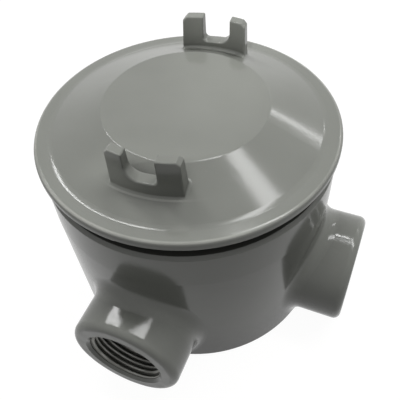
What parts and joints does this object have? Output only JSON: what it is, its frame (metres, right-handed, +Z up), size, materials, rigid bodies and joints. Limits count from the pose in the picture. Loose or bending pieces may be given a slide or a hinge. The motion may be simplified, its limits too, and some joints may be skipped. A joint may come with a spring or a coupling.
{
  "type": "explosion-proof electrical junction box",
  "caption": "Round cast flameproof junction box with two threaded conduit hubs at a right angle and a screw-on conical cover with notched lugs.",
  "frame": {"origin": "middle of the flat base, on the axis of the round body", "axes": "+Z up along the axis of the body and the cover; +X out along one conduit hub; -Y out along the other"},
  "size_m": [0.1145, 0.1145, 0.0923],
  "materials": {
    "grey_enamel": "glossy grey baked enamel over cast aluminium",
    "seal_rubber": "matt black nitrile",
    "plated_steel": "bright zinc plated",
    "brass": "bare machined brass",
    "moulding": "moulded insulating compound, slightly glossy",
    "bare_aluminium": "bare cut aluminium of the threads, which the dressed model adds"
  },
  "bodies": {
    "housing": {"body_casting": "grey_enamel", "cover_lock_screw": "plated_steel", "terminal_base": "moulding", "terminal_bar_1": "brass", "terminal_saddle_1a": "plated_steel", "terminal_screw_1a": "plated_steel", "terminal_saddle_1b": "plated_steel", "terminal_screw_1b": "plated_steel", "terminal_bar_2": "brass", "terminal_saddle_2a": "plated_steel", "terminal_screw_2a": "plated_steel", "terminal_saddle_2b": "plated_steel", "terminal_screw_2b": "plated_steel", "terminal_bar_3": "brass", "terminal_saddle_3a": "plated_steel", "terminal_screw_3a": "plated_steel", "terminal_saddle_3b": "plated_steel", "terminal_screw_3b": "plated_steel", "terminal_bar_4": "brass", "terminal_saddle_4a": "plated_steel", "terminal_screw_4a": "plated_steel", "terminal_saddle_4b": "plated_steel", "terminal_screw_4b": "plated_steel", "terminal_bar_5": "brass", "terminal_saddle_5a": "plated_steel", "terminal_screw_5a": "plated_steel", "terminal_saddle_5b": "plated_steel", "terminal_screw_5b": "plated_steel", "block_screw_1": "plated_steel", "block_spring_washer_1": "plated_steel", "block_screw_2": "plated_steel", "block_spring_washer_2": "plated_steel", "inner_earth_saddle": "brass", "inner_earth_flat_washer": "brass", "inner_earth_spring_washer": "plated_steel", "inner_earth_screw": "brass", "outer_earth_saddle": "brass", "outer_earth_flat_washer": "brass", "outer_earth_spring_washer": "plated_steel", "outer_earth_screw": "brass"},
    "seal": {"cover_o_ring": "seal_rubber"},
    "cover": {"cover_casting": "grey_enamel"}
  },
  "joints": [
    {"name": "cover_lift", "type": "slide", "parent": "housing", "child": "seal", "axis": [0, 0, 1], "range_m": [0, 0.0126]},
    {"name": "cover_turn", "type": "hinge", "parent": "seal", "child": "cover", "pos_m": [0, 0, 0.075], "axis": [0, 0, 1], "range_deg": [0, 2250]}
  ],
  "couplings": [
    {"joint": "cover_lift", "follows": "cover_turn", "m_per_rad": 0.00031831}
  ]
}
